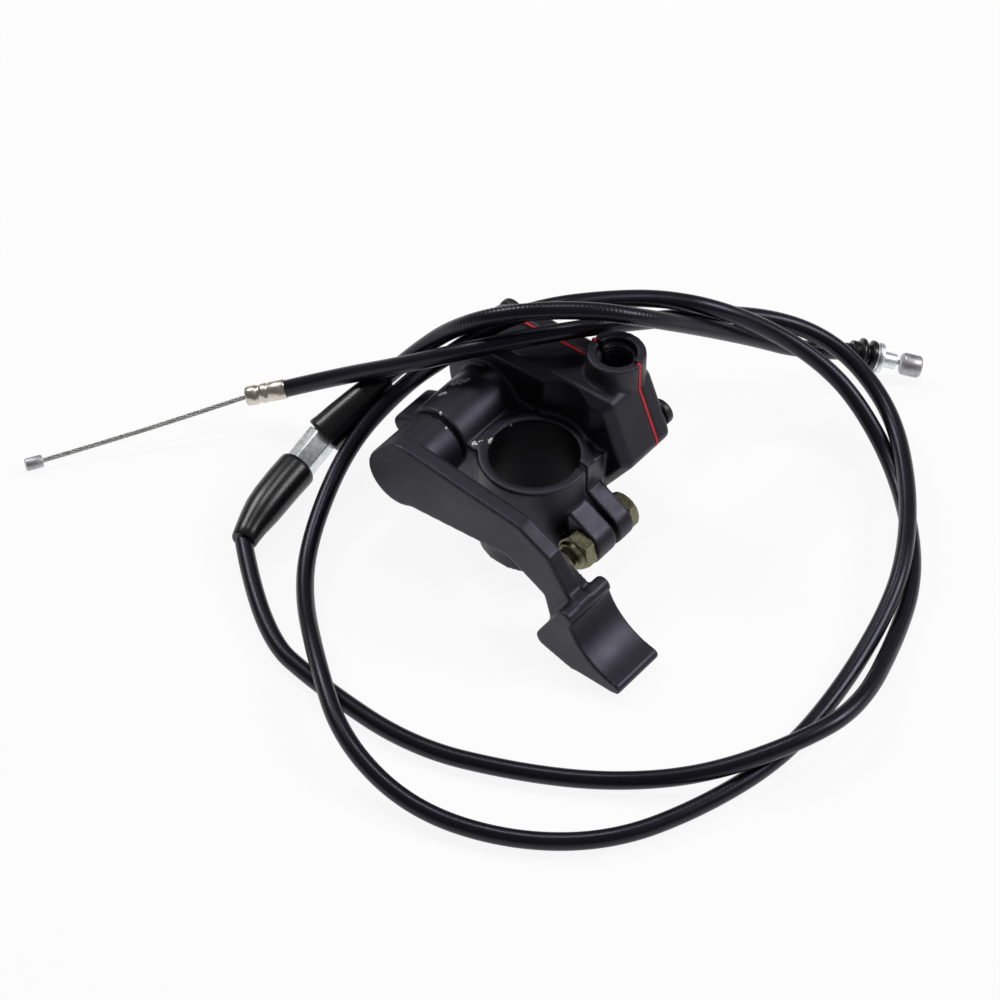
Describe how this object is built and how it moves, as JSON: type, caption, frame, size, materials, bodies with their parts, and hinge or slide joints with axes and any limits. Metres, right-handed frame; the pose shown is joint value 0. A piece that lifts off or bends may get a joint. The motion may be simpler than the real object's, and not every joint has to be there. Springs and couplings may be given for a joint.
{
  "type": "thumb throttle lever",
  "caption": "Handlebar-clamped thumb throttle lever with a cast housing, a curved thumb paddle and its detached control cable lying coiled round it.",
  "frame": {"origin": "on the handlebar clamp bore's axis, at the clamp ring's lower face", "axes": "+Z along the clamp bore, up through the ring; +Y from the lever towards the cover; +X towards the clamp bolt and the thumb paddle"},
  "size_m": [0.2124, 0.1953, 0.0563],
  "materials": {
    "black_paint": "satin black paint on cast aluminium, chipped at edges",
    "black_steel": "black coated steel",
    "red_gasket": "matt red gasket",
    "olive_zinc": "yellow-olive zinc plate",
    "rubber": "matt moulded rubber",
    "bronze": "sintered bronze",
    "spring_steel": "oiled spring steel",
    "steel": "bright zinc plated steel",
    "washer_plastic": "natural nylon",
    "dull_zinc": "dull cast zinc",
    "wire_rope": "stranded steel wire",
    "nickel": "nickel plate",
    "casing": "satin black plastic sheath",
    "bright_zinc": "bright zinc plate"
  },
  "bodies": {
    "root": {"housing_body": "black_paint", "housing_cover": "black_paint", "cover_gasket": "red_gasket", "cover_screws": "black_steel", "clamp_bolt": "olive_zinc", "clamp_nut": "olive_zinc", "shaft_seal": "rubber", "front_bush": "bronze", "rear_bush": "bronze", "return_spring": "spring_steel", "thrust_washer": "washer_plastic", "carb_nipple": "dull_zinc", "carb_inner_wire": "wire_rope", "carb_ferrule": "nickel", "long_cable_casing": "casing", "lower_boot": "rubber", "adjuster_sleeve": "bright_zinc", "upper_boot": "rubber", "short_cable_casing": "casing", "cable_grommet": "rubber", "lever_end_ferrule": "bright_zinc", "lever_inner_wire": "wire_rope", "lever_nipple": "dull_zinc"},
    "lever": {"thumb_lever": "black_paint", "pivot_shaft": "steel", "cable_arm": "steel", "arm_lock_washer": "spring_steel", "arm_nut": "steel"}
  },
  "joints": [
    {"name": "lever_pivot", "type": "hinge", "parent": "root", "child": "lever", "pos_m": [-0.023, 0, 0.024], "axis": [0, 1, 0], "range_deg": [0, 35], "stiffness_Nm_per_rad": 0.12, "springref_deg": -34.38}
  ]
}
